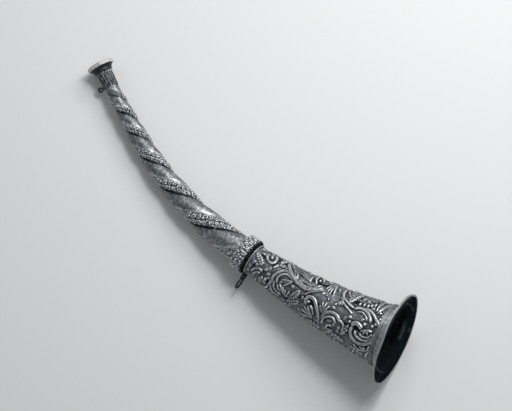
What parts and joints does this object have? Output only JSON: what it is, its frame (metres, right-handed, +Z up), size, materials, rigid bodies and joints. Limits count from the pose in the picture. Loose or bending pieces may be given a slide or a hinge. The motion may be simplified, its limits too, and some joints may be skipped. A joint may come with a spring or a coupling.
{
  "type": "hunting horn",
  "caption": "Curved metal hunting horn with a twisted, garlanded tube, a leaf wreath at the joint, a conical bell with a wide mouth, a pull-out mouthpiece and a loose strap ring.",
  "frame": {"origin": "on the floor below the middle of the horn's box, with the horn lying on its belly", "axes": "+Z up from the floor, +X from the mouthpiece towards the bell, +Y to the hollow side of the curve"},
  "size_m": [0.4598, 0.1228, 0.1012],
  "materials": {
    "horn_metal": "dark blue-grey patina, worn bright on high places",
    "garland_metal": "dark patina in the hollows, worn bright leaf tips",
    "bright_metal": "thin worn patina",
    "inner_metal": "dull dark inside",
    "lip_plate": "pale smooth bone-like plate"
  },
  "bodies": {
    "horn": {"bell_body": "horn_metal", "bell_flare": "horn_metal", "collar_bead": "bright_metal", "joint_sleeve": "inner_metal", "leaf_collar": "horn_metal", "receiver_ferrule": "horn_metal", "rim_bead": "bright_metal", "socket_collar": "horn_metal", "strap_lug": "horn_metal", "throat_ring": "bright_metal", "twisted_tube": "horn_metal", "upper_eye": "bright_metal", "vine_strand_a": "garland_metal", "vine_strand_b": "garland_metal", "wreath_knop": "garland_metal"},
    "mouthpiece": {"mouthpiece_plate": "lip_plate", "mouthpiece_shank": "horn_metal"},
    "strap_ring": {"strap_ring": "bright_metal"}
  },
  "joints": [
    {"name": "mouthpiece_pull", "type": "slide", "parent": "horn", "child": "mouthpiece", "axis": [-0.95, 0.3099, 0.0378], "range_m": [0, 0.027]},
    {"name": "strap_ring_swing", "type": "hinge", "parent": "horn", "child": "strap_ring", "pos_m": [0.04633, -0.04826, 0.01586], "axis": [-0.0737, -0.3401, 0.9375], "range_deg": [-80, 80]}
  ]
}
